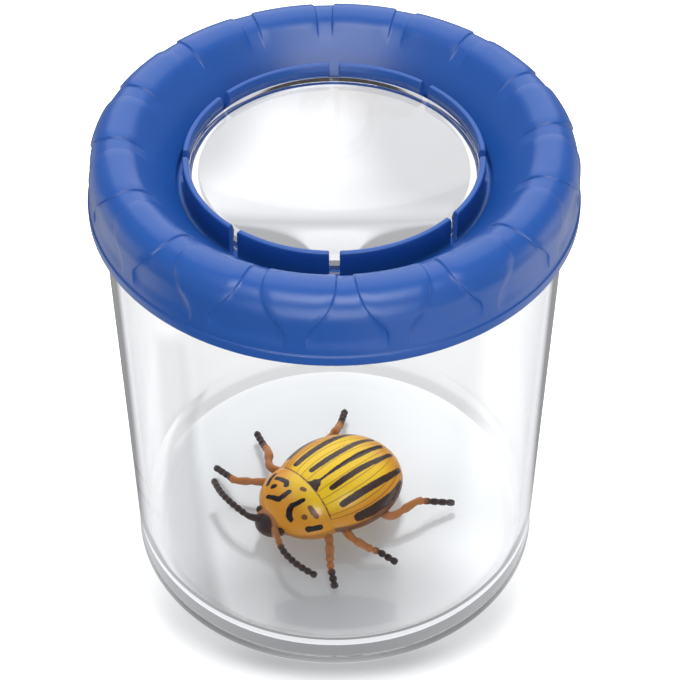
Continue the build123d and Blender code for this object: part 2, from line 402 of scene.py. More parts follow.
SLOPE_TAN = tan(radians(SLOPE_ANGLE))
slope_top = on_shoulder(SHOULDER_RADIUS, -SLOPE_ANGLE)
well_edge_z = slope_top[1] - (slope_top[0] - WELL_RADIUS) * SLOPE_TAN
trench_z = well_edge_z - TRENCH_DEPTH
flange_z = trench_z - FLANGE_THICKNESS
trench_outer_radius = WELL_RADIUS + TRENCH_WALL
seat_foot_radius = LENS_SEAT_RADIUS + FLANGE_THICKNESS - SEAT_EDGE_THICKNESS
lens_bottom_z = trench_z + LENS_CLEARANCE
lens_rim_top_z = lens_bottom_z + LENS_RIM_HEIGHT
lip_z = lens_rim_top_z + LENS_CLEARANCE
finger_top_z = lens_rim_top_z + FINGER_RISE
under_radius = SHOULDER_RADIUS - LID_WALL
under_slope_top = on_shoulder(under_radius, -SLOPE_ANGLE)
under_slope_end_z = under_slope_top[1] - (under_slope_top[0] - trench_outer_radius) * SLOPE_TAN
seat_turn = asin((SEAT_RADIUS - CREST_RADIUS) / under_radius) * 180 / pi

# Half the angle of a flute against the way over the lid from the crest, in millimetres
FLUTE_WAY = (-8.0, 0.0, 2.4, 5.0, 6.7, 7.7, 9.1, 10.3, 11.5, 16.0)
FLUTE_HALF_ANGLE = (2.2, 2.4, 2.65, 3.7, 4.9, 5.75, 7.0, 8.1, 8.75, 8.8)
FLUTE_INNER_END = (-7.6, -3.6)
FLUTE_OUTER_END = (15.2, 12.4)

# Shares of a flute's half sector: inside the flute, over its edge, and on the land beside it
INSIDE_STEPS, EDGE_STEPS, LAND_STEPS = 4, 5, 3
HALF_STEPS = INSIDE_STEPS + EDGE_STEPS + LAND_STEPS
FINGER_ROUND = 0.35
FINGER_END_STEPS = (0.0, 0.08, 0.2, 0.35)
SLOT_STEPS = 3
SLOT_WALL_GAP = 1e-5

# Roundings of the lid's section, spacings of its rows, and steps of its arcs
WELL_EDGE_ROUND, BEAD_INNER_ROUND, BEAD_ROUND, SEAT_ROUND = 0.4, 0.12, 0.3, 0.15
UNDER_ROUND, LEDGE_ROUND, LIP_FOOT_ROUND, LIP_ROUND = 0.3, 0.1, 0.15, 0.3
SLOPE_SPACING, SKIRT_SPACING, UNDER_SPACING, FINGER_SPACING = 0.7, 0.5, 1.0, 0.9
WELL_EDGE_STEPS, SHOULDER_STEPS, UNDER_STEPS = 6, 44, 18
SKIRT_MARGIN = 0.05
# How far down the slope the columns change from the flutes' angles to the fingers'
COLUMN_CHANGE = (3.2, 9.0)


def flute_columns(way, radius):
    """Angles and recess shares of all columns of a row that lies this way over the lid."""
    half_sector = pi / FLUTE_COUNT
    half_angle = radians(np.interp(way, FLUTE_WAY, FLUTE_HALF_ANGLE))
    edge = FLUTE_EDGE / radius
    inner, outer = half_angle - edge, half_angle + edge
    half = [
        *np.linspace(0, inner, INSIDE_STEPS, endpoint=False),
        *np.linspace(inner, outer, EDGE_STEPS, endpoint=False),
        *np.linspace(outer, half_sector, LAND_STEPS + 1),
    ]
    offsets = np.array([-a for a in reversed(half[1:])] + half[:-1])
    recess = smooth_step(outer, inner, np.abs(offsets))
    centres = FRONT + radians(FLUTE_PHASE) + 2 * half_sector * np.arange(FLUTE_COUNT)
    angles = (centres[:, None] + offsets[None, :]).ravel()
    return angles, np.tile(recess, FLUTE_COUNT)


def finger_columns():
    """Angles of all columns of the rows round the fingers, and their rise: 0 in a slot, 1 in a finger."""
    middle_radius = (FINGER_INNER_RADIUS + FINGER_OUTER_RADIUS) / 2
    half_slot = FINGER_SLOT / 2 / middle_radius
    height = finger_top_z - trench_z
    near = [half_slot * i / SLOT_STEPS for i in range(SLOT_STEPS + 1)]
    rise = [0.0] * len(near)
    for reach in FINGER_END_STEPS:
        near.append(half_slot + SLOT_WALL_GAP + reach / middle_radius)
        sunk = FINGER_ROUND - sqrt(FINGER_ROUND**2 - (FINGER_ROUND - reach) ** 2)
        rise.append(1 - sunk / height)
    steps = 2 * HALF_STEPS - len(near) + 1
    rise += [1.0] * steps
    sides = []
    for span in FINGER_SPANS:
        sides.append(near + list(np.linspace(near[-1], radians(span) / 2, steps + 1)[1:]))
    rises = list(reversed(rise[1:])) + rise[:-1]
    angles = []
    for quarter in range(FINGER_QUARTERS):
        for slot in range(2):
            centre = FRONT + 2 * pi * quarter / FINGER_QUARTERS + slot * radians(FINGER_SPANS[0])
            before, after = sides[1 - slot], sides[slot]
            angles += [centre - a for a in reversed(before[1:])]
            angles += [centre + a for a in after[:-1]]
    # Like the flutes' rows, these begin half a flute's sector before the front
    shift = HALF_STEPS
    angles = np.array(angles[shift:] + [a + 2 * pi for a in angles[:shift]])
    return angles, np.roll(np.tile(rises, 2 * FINGER_QUARTERS), -shift)


def lid_rows():
    """The lid's closed section as rows. Each one has its radius, height, way over the lid or None, share of
    the flutes' column angles, and radius in a slot or None."""
    rows = []
    slope_length = sqrt((slope_top[0] - WELL_RADIUS) ** 2 + (slope_top[1] - well_edge_z) ** 2)
    crest_to_slope = radians(SLOPE_ANGLE) * SHOULDER_RADIUS
    well_edge = rounded_path(
        [(WELL_RADIUS, trench_z, 0), (WELL_RADIUS, well_edge_z, WELL_EDGE_ROUND), (*slope_top, 0)],
        SLOPE_SPACING,
        arc_steps=WELL_EDGE_STEPS,
    )
    for radius, height in well_edge[:-1]:
        down = (slope_top[0] - radius) / (slope_top[0] - WELL_RADIUS) * slope_length
        on_slope = height > well_edge_z
        way = -crest_to_slope - down if on_slope else None
        share = 1 - float(smooth_step(*COLUMN_CHANGE, down)) if on_slope else 0.0
        rows.append((radius, height, way, share, None))
    for step in range(SHOULDER_STEPS + 1):
        turn = -SLOPE_ANGLE + (90 + SLOPE_ANGLE) * step / SHOULDER_STEPS
        rows.append((*on_shoulder(SHOULDER_RADIUS, turn), radians(turn) * SHOULDER_RADIUS, 1.0, None))
    skirt_way = pi / 2 * SHOULDER_RADIUS
    foot = rounded_path(
        [
            (SKIRT_RADIUS, SHOULDER_Z, 0),
            (SKIRT_RADIUS + SKIRT_FLARE, BEAD_TOP_Z, BEAD_INNER_ROUND),
            (BEAD_RADIUS, BEAD_TOP_Z, BEAD_ROUND),
            (BEAD_RADIUS, SKIRT_BOTTOM_Z, BEAD_ROUND),
            (SKIRT_INNER_RADIUS, SKIRT_BOTTOM_Z, BEAD_ROUND),
            (SKIRT_INNER_RADIUS, SEAT_Z, SEAT_ROUND),
            (SEAT_RADIUS, SEAT_Z, SEAT_ROUND),
            on_shoulder(under_radius, seat_turn),
        ],
        SKIRT_SPACING,
    )
    for radius, height in foot[1:]:
        on_skirt = SKIRT_RADIUS - SKIRT_MARGIN < radius < SKIRT_RADIUS + SKIRT_FLARE + SKIRT_MARGIN
        way = skirt_way + SHOULDER_Z - height if on_skirt else None
        rows.append((radius, height, way, 1.0, None))
    for step in range(1, UNDER_STEPS):
        turn = seat_turn - (seat_turn + SLOPE_ANGLE) * step / UNDER_STEPS
        rows.append((*on_shoulder(under_radius, turn), None, 1 - step / UNDER_STEPS, None))
    inner = rounded_path(
        [
            (*under_slope_top, 0),
            (trench_outer_radius, under_slope_end_z, UNDER_ROUND),
            (trench_outer_radius, flange_z, UNDER_ROUND),
            (seat_foot_radius, flange_z, LEDGE_ROUND),
            (LENS_SEAT_RADIUS, trench_z - SEAT_EDGE_THICKNESS, LEDGE_ROUND),
            (LENS_SEAT_RADIUS, trench_z, LEDGE_ROUND),
            (FINGER_INNER_RADIUS, trench_z, 0),
        ],
        UNDER_SPACING,
    )
    for radius, height in inner[:-1]:
        rows.append((radius, height, None, 0.0, None))
    finger = rounded_path(
        [
            (FINGER_INNER_RADIUS, trench_z, 0),
            (FINGER_INNER_RADIUS, lip_z, LIP_FOOT_ROUND),
            (FINGER_INNER_RADIUS - FINGER_LIP, (finger_top_z + lip_z) / 2, LIP_ROUND),
            (FINGER_INNER_RADIUS, finger_top_z, FINGER_ROUND),
            (FINGER_OUTER_RADIUS, finger_top_z, FINGER_ROUND),
            (FINGER_OUTER_RADIUS, trench_z, 0),
        ],
        FINGER_SPACING,
    )
    slot_radii = np.linspace(FINGER_INNER_RADIUS, FINGER_OUTER_RADIUS, len(finger))
    for (radius, height), slot_radius in zip(finger, slot_radii):
        rows.append((radius, height, None, 0.0, slot_radius))
    rows.append(((FINGER_OUTER_RADIUS + WELL_RADIUS) / 2, trench_z, None, 0.0, None))
    return rows


def build_lid(material):
    rows = lid_rows()
    section = np.array([row[:2] for row in rows])
    along = unit(np.roll(section, -1, axis=0) - np.roll(section, 1, axis=0))
    outward = np.stack((-along[:, 1], along[:, 0]), axis=1)
    slot_angles, rises = finger_columns()
    points = []
    for (radius, height, way, share, slot_radius), normal in zip(rows, outward):
        flute_angles, recess = flute_columns(way if way is not None else FLUTE_WAY[-1], radius)
        angles = share * flute_angles + (1 - share) * slot_angles
        radii = np.full(len(angles), radius)
        heights = np.full(len(angles), height)
        if way is not None:
            depth = FLUTE_DEPTH * smooth_step(*FLUTE_INNER_END, way) * smooth_step(*FLUTE_OUTER_END, way)
            radii = radii - normal[0] * depth * recess
            heights = heights - normal[1] * depth * recess
        if slot_radius is not None:
            radii = slot_radius + (radii - slot_radius) * rises
            heights = trench_z + (heights - trench_z) * rises
        points += list(zip(radii * np.cos(angles), radii * np.sin(angles), heights))
    columns = len(slot_angles)
    faces = grid_faces(len(rows), columns, close_rows=True)
    return add_piece("fluted_lid", points, faces, "lid", material, "lid")


# Clear pieces

JAR_SPACING, JAR_ARC_STEPS = 4.0, 16
LENS_STEPS, LENS_RIM_ROUND, LENS_RIM_SPACING = 40, 0.3, 0.8


def build_jar(material):
    path = rounded_path(
        [
            (0, 0, 0),
            (JAR_BASE_RADIUS, 0, JAR_FOOT_ROUND),
            (JAR_RIM_RADIUS, JAR_HEIGHT, JAR_RIM_ROUND),
            (JAR_RIM_RADIUS - JAR_WALL, JAR_HEIGHT, JAR_RIM_ROUND),
            (JAR_BASE_RADIUS - JAR_WALL, JAR_FLOOR, JAR_FLOOR_ROUND),
            (0, JAR_FLOOR, 0),
        ],
        JAR_SPACING,
        arc_steps=JAR_ARC_STEPS,
    )
    points, faces = turned_solid(path)
    return add_piece("clear_jar", points, faces, "jar", material, "jar")


def lens_face(height, bulge, steps=LENS_STEPS):
    """Points of a lens face from its middle to its edge."""
    ball = (LENS_FACE_RADIUS**2 + bulge**2) / (2 * abs(bulge))
    side = 1 if bulge > 0 else -1
    radii = [LENS_FACE_RADIUS * i / steps for i in range(steps + 1)]
    return [(r, height + side * (sqrt(ball**2 - r**2) - (ball - abs(bulge)))) for r in radii]


def build_lens(material):
    top = lens_face(lens_rim_top_z, LENS_TOP_BULGE)
    bottom = lens_face(lens_bottom_z, -LENS_BOTTOM_BULGE)
    rim = rounded_path(
        [
            (*bottom[-1], 0),
            (LENS_RADIUS, lens_bottom_z, LENS_RIM_ROUND),
            (LENS_RADIUS, lens_rim_top_z, LENS_RIM_ROUND),
            (*top[-1], 0),
        ],
        LENS_RIM_SPACING,
    )
    path = bottom + rim[1:-1] + top[::-1]
    points, faces = turned_solid(path)
    return add_piece("magnifier", points, faces, "lid", material, "lens")


lid = build_lid(blue_plastic())
build_jar(clear_plastic("clear_plastic", JAR_TINT))
build_lens(clear_plastic("lens_plastic", LENS_TINT))

# Toy beetle, in its own frame: x to its head, y to its left, z up from the jar's floor
BEETLE_PLACE = (1.25, 2.03, JAR_FLOOR)
BEETLE_HEADING = radians(216.0)
WING_CASES = {"centre": (0.5, 0.0, 5.2), "half_length": 15.7, "half_width": 14.0, "rise": 5.8, "drop": 2.6}
WING_CASES_TURN = radians(5.0)
SHIELD = {"centre": (10.0, 0.0, 5.0), "half_length": 10.3, "half_width": 11.5, "rise": 5.2, "drop": 2.2}
HEAD = {"centre": (18.6, 0.0, 4.3), "half_length": 4.6, "half_width": 4.6, "rise": 2.9, "drop": 2.2}
HEAD_GRID = {"rows": 60, "top_columns": 70, "under_columns": 30}
EYE_GRID = {"rows": 16, "top_columns": 16, "under_columns": 16}
EYE_RADIUS = 0.95
EYE_PLACE = (19.8, 4.1, 5.3)
# The head is dark in front of a curve: its place in the middle, how it bends, and half its soft edge
FACE_FRONT, FACE_BEND, FACE_EDGE = 20.1, 0.14, 0.15
# The groove between the wing cases: its depth, its width and where it ends under the shield
WING_GROOVE_DEPTH, WING_GROOVE_WIDTH, WING_GROOVE_END = 0.3, 0.28, 6.5
# Where the paint turns from orange to yellow, across and along each piece
WING_PALE_ACROSS, WING_PALE_ALONG = (0.85, 0.5), (-14, -6)
SHIELD_PALE_ACROSS, SHIELD_PALE_ALONG, SHIELD_PALE_MIDDLE = (9.0, 4.0), (16.0, 9.5), 1
# The shield has a weaker brown rim, and a share at which no groove line lies
SHIELD_RIM, SHIELD_SHARE = 0.5, 0.1
UNPAINTED = -1e3

# Painted stripes of one wing case: places along it, shares of its half width, and half widths of the stroke
STRIPES = (
    ((5.6, 0.27, 0.7), (1.7, 0.255, 0.8), (-3.3, 0.26, 0.78), (-8.8, 0.32, 0.7), (-13.0, 0.44, 0.55)),
    ((6.4, 0.63, 0.8), (2.0, 0.61, 0.92), (-3.0, 0.63, 0.92), (-7.5, 0.70, 0.85), (-11.8, 0.86, 0.6)),
    ((5.2, 0.91, 1.0), (1.6, 0.915, 1.15), (-2.3, 0.925, 1.15), (-5.9, 0.94, 0.95), (-9.8, 0.95, 0.5)),
)
SUTURE_STRIPE = ((6.0, 0.0, 0.3), (1.0, 0.0, 0.52), (-6.0, 0.0, 0.8), (-13.0, 0.0, 0.7))
RIM_SHARES = (0.955, 0.985)
SCUTELLUM = ((8.6, 0.0, 1.9), (7.5, 0.0, 1.2), (6.0, 0.0, 0.3))
# Shares across a wing case where thin brown lines paint the shade of grooves that the mesh does not carve,
# the soft edges of these lines, and the strength of this painted shade
GROOVE_SHARES = (0.175, 0.365, 0.50, 0.74, 0.825)
GROOVE_EDGES = (0.013, 0.005)
GROOVE_SHADE_STRENGTH = 0.6
MARK_SPREAD = 0.2
SEAM_HALF_WIDTH = 0.2
SEAM_PLACES = np.linspace(3.0, 13.0, 401)
SEAM_ACROSS = np.linspace(-9.5, 9.5, 77)

# Black and brown marks on the shield: places along and across the beetle, and half widths of the stroke
SHIELD_BLACK_MARKS = (
    ((13.0, -7.2, 0.4), (12.5, -5.7, 0.42), (12.3, -4.2, 0.45), (12.9, -3.4, 0.5)),
    ((12.3, -9.0, 0.35), (13.4, -8.7, 0.4), (14.4, -8.2, 0.4), (15.3, -7.5, 0.35)),
    ((15.1, -5.6, 0.5), (14.9, -5.4, 0.5)),
    ((17.5, -4.3, 0.35), (16.9, -2.8, 0.42), (16.4, -1.4, 0.5), (15.0, -1.3, 0.52), (13.6, -1.3, 0.42)),
    (
        (12.5, 2.7, 0.36), (13.9, 2.5, 0.44), (15.3, 2.2, 0.5),
        (16.3, 2.7, 0.55), (17.0, 3.5, 0.55), (17.2, 4.6, 0.4),
    ),
    ((15.3, 8.6, 0.5), (14.4, 9.1, 0.4), (12.7, 9.8, 0.42)),
)
SHIELD_BROWN_MARKS = (
    ((10.8, 0.0, 0.42), (10.6, 0.5, 0.42)),
    ((12.3, 5.2, 0.4), (12.4, 6.4, 0.5), (12.3, 7.6, 0.45)),
    ((14.7, 6.1, 0.42), (14.5, 6.3, 0.42)),
)

LEG_ROUTES = (
    ((11.0, -6.0, 4.5), (14.0, -11.0, 4.7), (19.2, -15.7, 4.3), (18.8, -18.8, 2.7), (19.2, -24.5, 1.05)),
    ((7.0, -8.0, 4.3), (10.4, -14.4, 4.4), (7.8, -18.2, 4.7), (6.6, -22.3, 2.7), (4.9, -28.0, 1.05)),
    ((-3.0, -8.0, 4.3), (-5.0, -13.0, 4.2), (-9.5, -14.5, 4.7), (-12.0, -16.5, 3.1), (-16.9, -21.1, 1.05)),
    ((11.0, 6.0, 4.5), (11.6, 11.6, 4.7), (15.2, 16.8, 3.2), (16.2, 19.0, 2.1), (17.5, 21.9, 1.05)),
    ((6.5, 8.0, 4.3), (7.5, 14.2, 4.3), (5.6, 18.7, 3.4), (4.1, 19.9, 2.6), (1.9, 24.2, 1.05)),
    ((-1.0, 8.0, 4.3), (-3.8, 14.6, 3.9), (-11.1, 15.0, 5.1), (-13.0, 15.3, 4.0), (-19.9, 17.9, 1.05)),
)
ANTENNA_ROUTES = (
    ((21.0, -1.2, 5.5), (23.6, -3.0, 6.3), (24.8, -9.4, 6.6), (24.7, -13.7, 6.1), (23.7, -17.9, 5.5)),
    ((20.4, 2.2, 5.5), (21.7, 5.7, 6.1), (23.0, 9.4, 6.0), (22.6, 14.4, 5.6), (20.6, 19.2, 5.0)),
)
LIMB_DARK_EDGE = 0.05
LIMB_RIDGES = 4
LEG_RIDGE = 0.07
LEG_PLACES = (0.0, 0.2, 0.34, 0.40, 0.45, 0.50, 0.57, 0.62, 0.65)
LEG_GIRTHS = (1.0, 1.1, 0.95, 0.75, 1.05, 0.95, 0.8, 1.0, 0.5)
LEG_BEADS_FROM = 0.65
LEG_BEADS = 4
LEG_BEAD_GIRTHS = (0.34, 0.85)
LEG_BEND = 1.4
LEG_DARK_FROM = (0.66, 0.66, 0.66, 0.75, 0.7, 0.67)
ANTENNA_RIDGE = 0.0
ANTENNA_PLACES = (0.0, 0.12, 0.24)
ANTENNA_GIRTHS = (0.75, 0.85, 0.6)
ANTENNA_BEADS_FROM = 0.24
ANTENNA_BEADS = 9
ANTENNA_BEAD_GIRTHS = (0.36, 0.8)
ANTENNA_BEND = 3.0
ANTENNA_DARK_FROM = (0.0, 0.36)


def turned(points, centre, angle):
    """Points turned about a vertical line through a centre."""
    points = np.array(points, float)
    x, y = points[:, 0] - centre[0], points[:, 1] - centre[1]
    points[:, 0] = centre[0] + x * cos(angle) - y * sin(angle)
    points[:, 1] = centre[1] + x * sin(angle) + y * cos(angle)
    return points


def add_beetle_piece(name, points, faces, material, node=None):
    """A piece of the beetle, made from points of its own frame and set down where it stands in the jar."""
    placed = turned(points, (0, 0), BEETLE_HEADING) + np.array(BEETLE_PLACE)
    return add_piece(name, placed, faces, "beetle", material, node)


def shell(centre, half_length, half_width, rise, drop, rows=110, top_columns=130, under_columns=40):
    """Points and faces of a rounded body, with the angle round it at each point."""
    over = np.linspace(-pi / 2, pi / 2, top_columns, endpoint=False)
    under = np.linspace(pi / 2, 3 * pi / 2, under_columns, endpoint=False)
    around = np.concatenate((over, under))
    along = np.linspace(0, pi, rows + 2)[1:-1]
    a, g = np.meshgrid(along, around, indexing="ij")
    a = np.concatenate(([0.0], a.ravel(), [pi]))
    g = np.concatenate(([0.0], g.ravel(), [0.0]))
    height = np.where(np.cos(g) > 0, rise, drop)
    points = np.stack(
        (
            centre[0] + half_length * np.cos(a),
            centre[1] + half_width * np.sin(a) * np.sin(g),
            centre[2] + height * np.sin(a) * np.cos(g),
        ),
        axis=1,
    )
    return points, capped_faces(rows, len(around)), g


def on_top(place, across, centre, half_length, half_width, rise, **_):
    """The point on top of a rounded body at a place along and across it."""
    share = 1 - ((place - centre[0]) / half_length) ** 2 - ((across - centre[1]) / half_width) ** 2
    return (place, across, centre[2] + rise * sqrt(max(0.0, share)))


def stroke_reach(points, stroke):
    """How far each point lies inside a painted stroke, in millimetres, and below 0 outside it."""
    best = np.full(len(points), UNPAINTED)
    for (start, start_width), (end, end_width) in zip(stroke[:-1], stroke[1:]):
        start, end = np.array(start), np.array(end)
        way = end - start
        t = np.clip((points - start) @ way / (way @ way), 0, 1)
        gap = np.linalg.norm(points - start - t[:, None] * way, axis=1)
        best = np.maximum(best, start_width + (end_width - start_width) * t - gap)
    return best


def wing_stroke(stripe, side):
    """A stripe of a wing case as points on its top, with half widths."""
    stroke = []
    for place, share, half_stroke in stripe:
        half_width = WING_CASES["half_width"] * sqrt(
            1 - ((place - WING_CASES["centre"][0]) / WING_CASES["half_length"]) ** 2
        )
        stroke.append((on_top(place, side * share * half_width, **WING_CASES), half_stroke))
    return stroke


def seam_stroke():
    """The line where the shield meets the wing cases, as points on the shield's top with half widths. Shade
    is painted along it, in the crease between the two.
    """
    stroke = []
    for across in SEAM_ACROSS:
        shield_top = np.array([on_top(place, across, **SHIELD) for place in SEAM_PLACES])
        flat = turned(shield_top, WING_CASES["centre"], -WING_CASES_TURN)
        wing_top = np.array([on_top(x, y, **WING_CASES)[2] for x, y, _ in flat])
        above = shield_top[:, 2] > wing_top
        if above.any() and not above[0]:
            stroke.append((tuple(shield_top[np.argmax(above)]), SEAM_HALF_WIDTH))
    return stroke


def rounded_route(corners, reach, spacing=0.15):
    """A dense path through the corners of a limb, each one rounded off within a reach."""
    corners = [np.array(c, float) for c in corners]
    path = [corners[0]]
    for before, corner, after in zip(corners[:-2], corners[1:-1], corners[2:]):
        into, out = unit(before - corner), unit(after - corner)
        room = min(reach, np.linalg.norm(before - corner) / 2, np.linalg.norm(after - corner) / 2)
        for t in np.linspace(0, 1, 9):
            start, end = corner + into * room, corner + out * room
            path.append((1 - t) ** 2 * start + 2 * t * (1 - t) * corner + t**2 * end)
    path.append(corners[-1])
    path = np.array(path)
    lengths = np.concatenate(([0], np.cumsum(np.linalg.norm(np.diff(path, axis=0), axis=1))))
    count = int(lengths[-1] / spacing)
    even = np.linspace(0, lengths[-1], count)
    return np.stack([np.interp(even, lengths, path[:, i]) for i in range(3)], axis=1)


def limb_girths(shares, places, girths, beads_from, beads, bead_girths):
    """Half thickness along a limb: plain stretches, and then a row of round beads."""
    plain = np.interp(shares, places, girths)
    turn = np.clip((shares - beads_from) / (1 - beads_from), 0, 1) * beads
    swell = np.sqrt(np.clip(1 - (2 * (turn % 1) - 1) ** 2, 0, 1))
    low, high = bead_girths
    beaded = low + (high - low) * swell
    return np.where(shares < beads_from, plain, beaded)


def limb_mesh(path, girths, ridge, sides=18):
    """A closed tube along a path, with a few soft ridges that run along it."""
    around = 2 * pi * np.arange(sides) / sides
    ahead = unit(np.gradient(path, axis=0))
    across = unit(np.cross(ahead, (0, 0, 1)))
    up = np.cross(across, ahead)
    ridges = 1 + ridge * np.cos(LIMB_RIDGES * around)
    spokes = np.cos(around)[:, None] * across[:, None, :] + np.sin(around)[:, None] * up[:, None, :]
    rings = path[:, None, :] + spokes * (girths[:, None] * ridges[None, :])[:, :, None]
    points = np.concatenate((path[:1], rings.reshape(-1, 3), path[-1:]))
    return points, capped_faces(len(path), sides)


def joined(parts):
    """Several meshes as one, with their values one after the other."""
    points, faces, values = [], [], []
    for part_points, part_faces, part_values in parts:
        first = len(points)
        points += [tuple(p) for p in part_points]
        faces += [tuple(first + i for i in face) for face in part_faces]
        values += list(part_values)
    return points, faces, values


def build_limbs(name, routes, bend, girth_table, ridge, dark_from, material):
    """Legs or antennae as one piece. Its material reads how dark the paint is at each point."""
    parts = []
    for route, dark_start in zip(routes, dark_from):
        path = rounded_route(route, bend)
        shares = np.linspace(0, 1, len(path))
        girths = limb_girths(shares, *girth_table)
        points, faces = limb_mesh(path, girths, ridge)
        sides = (len(points) - 2) // len(path)
        dark = smooth_step(dark_start - LIMB_DARK_EDGE, dark_start + LIMB_DARK_EDGE, shares)
        dark = np.repeat(dark, sides)
        parts.append((points, faces, np.concatenate((dark[:1], dark, dark[-1:]))))
    points, faces, dark = joined(parts)
    piece = add_beetle_piece(name, points, faces, material)
    add_values(piece, dark=dark)
    return piece


def build_wing_cases(material):
    points, faces, around = shell(**WING_CASES)
    share = np.abs(np.sin(around))
    marks = np.full(len(points), UNPAINTED)
    for side in (-1, 1):
        for stripe in STRIPES:
            marks = np.maximum(marks, stroke_reach(points, wing_stroke(stripe, side)))
    middle = np.array(WING_CASES["centre"])
    seam = seam_stroke()
    seam_points = turned([point for point, _ in seam], middle, -WING_CASES_TURN)
    seam = [(tuple(point), width) for point, (_, width) in zip(seam_points, seam)]
    # The brown along the seam is painted shade, in the crease where the shield meets the wing cases.
    brown = stroke_reach(points, seam)
    for stripe in (SCUTELLUM, SUTURE_STRIPE):
        marks = np.maximum(marks, stroke_reach(points, wing_stroke(stripe, 1)))
    top = np.cos(around) > 0
    groove = WING_GROOVE_DEPTH * np.exp(-((points[:, 1] / WING_GROOVE_WIDTH) ** 2))
    groove = groove * top * (points[:, 0] < WING_GROOVE_END)
    points = points - unit(points - middle) * groove[:, None]
    points = turned(points, middle, WING_CASES_TURN)
    piece = add_beetle_piece("beetle_wing_cases", points, faces, material, "toy_beetle")
    pale = smooth_step(*WING_PALE_ACROSS, share) * smooth_step(*WING_PALE_ALONG, points[:, 0])
    rim = smooth_step(*RIM_SHARES, share)
    add_values(piece, marks=marks, brown=brown, share=share, top=top, rim=rim, pale=pale)
    return piece


def build_shield(material):
    points, faces, around = shell(**SHIELD)
    reach = {}
    for name, marks in (("marks", SHIELD_BLACK_MARKS), ("brown", SHIELD_BROWN_MARKS)):
        reach[name] = np.full(len(points), UNPAINTED)
        for mark in marks:
            stroke = []
            for place, across, width in mark:
                stroke.append((on_top(place, across, **SHIELD), width + MARK_SPREAD))
            reach[name] = np.maximum(reach[name], stroke_reach(points, stroke))
    # Besides the shield's own brown marks, painted shade along the seam with the wing cases.
    reach["brown"] = np.maximum(reach["brown"], stroke_reach(points, seam_stroke()))
    piece = add_beetle_piece("beetle_shield", points, faces, material)
    share = np.full(len(points), SHIELD_SHARE)
    rim = smooth_step(*RIM_SHARES, np.abs(np.sin(around))) * SHIELD_RIM
    aside = np.abs(points[:, 1] - SHIELD_PALE_MIDDLE)
    pale = smooth_step(*SHIELD_PALE_ALONG, points[:, 0]) * smooth_step(*SHIELD_PALE_ACROSS, aside)
    add_values(piece, **reach, share=share, rim=rim, top=np.cos(around) > 0, pale=pale)
    return piece


def build_head(material):
    points, faces, _ = shell(**HEAD, **HEAD_GRID)
    face_front = FACE_FRONT + FACE_BEND * points[:, 1] ** 2
    dark = smooth_step(-FACE_EDGE, FACE_EDGE, points[:, 0] - face_front)
    parts = [(points, faces, dark)]
    for side in (-1, 1):
        eye = {
            "centre": (EYE_PLACE[0], side * EYE_PLACE[1], EYE_PLACE[2]),
            "half_length": EYE_RADIUS,
            "half_width": EYE_RADIUS,
            "rise": EYE_RADIUS,
            "drop": EYE_RADIUS,
        }
        eye_points, eye_faces, _ = shell(**eye, **EYE_GRID)
        parts.append((eye_points, eye_faces, np.ones(len(eye_points))))
    points, faces, dark = joined(parts)
    piece = add_beetle_piece("beetle_head", points, faces, material)
    add_values(piece, dark=dark)
    return piece


def read_value(tree, name):
    """A piece's own values, in its material."""
    return Value(new_node(tree, "ShaderNodeAttribute", attribute_name=name).outputs["Fac"])


YELLOW = (0.88, 0.57, 0.014, 1)
ORANGE = (0.67, 0.285, 0.026, 1)
STRIPE_BROWN = (0.045, 0.024, 0.02, 1)
MARK_BLACK = (0.012, 0.009, 0.009, 1)
# Brown of the painted shade in the grooves and along the seam, and of the shield's brown marks
LINE_BROWN = (0.19, 0.075, 0.03, 1)
RIM_BROWN = (0.16, 0.065, 0.03, 1)
LEG_BROWN = (0.47, 0.18, 0.055, 1)
LIMB_DARK = (0.045, 0.026, 0.024, 1)
# Painted strokes: scale and size of the noise at their edges, and half their soft edges, in millimetres
WOBBLE_SCALE, WOBBLE = 1800.0, 0.4
BROWN_EDGE, MARK_EDGE = 0.12, 0.1


def painted_stroke(tree, name, edge):
    """1 inside the strokes whose reach a piece holds under a name, with a slightly uneven edge."""
    uneven = (noise(tree, WOBBLE_SCALE) - 0.5) * WOBBLE
    return (read_value(tree, name) + uneven).between(-edge, edge)


def painted_body(name, mark_colour):
    material, tree, shader, _ = new_material(name)
    share = read_value(tree, "share")
    groove_shade = share * 0.0
    for groove_share in GROOVE_SHARES:
        groove_shade = groove_shade | abs(share - groove_share).between(*GROOVE_EDGES)
    groove_shade = groove_shade * read_value(tree, "top") * GROOVE_SHADE_STRENGTH
    painted = read_value(tree, "pale").blended(ORANGE, YELLOW)
    painted = read_value(tree, "rim").blended(painted, RIM_BROWN)
    # Painted shade in the grooves.
    painted = groove_shade.blended(painted, LINE_BROWN)
    # Brown marks, with the painted shade along the seam.
    painted = painted_stroke(tree, "brown", BROWN_EDGE).blended(painted, LINE_BROWN)
    painted = painted_stroke(tree, "marks", MARK_EDGE).blended(painted, mark_colour)
    feed(painted, shader.inputs["Base Color"])
    grain(tree, shader, *BODY_GRAIN)
    return material


def painted_limbs(name):
    material, tree, shader, _ = new_material(name)
    feed(read_value(tree, "dark").blended(LEG_BROWN, LIMB_DARK), shader.inputs["Base Color"])
    grain(tree, shader, *LIMB_GRAIN)
    return material


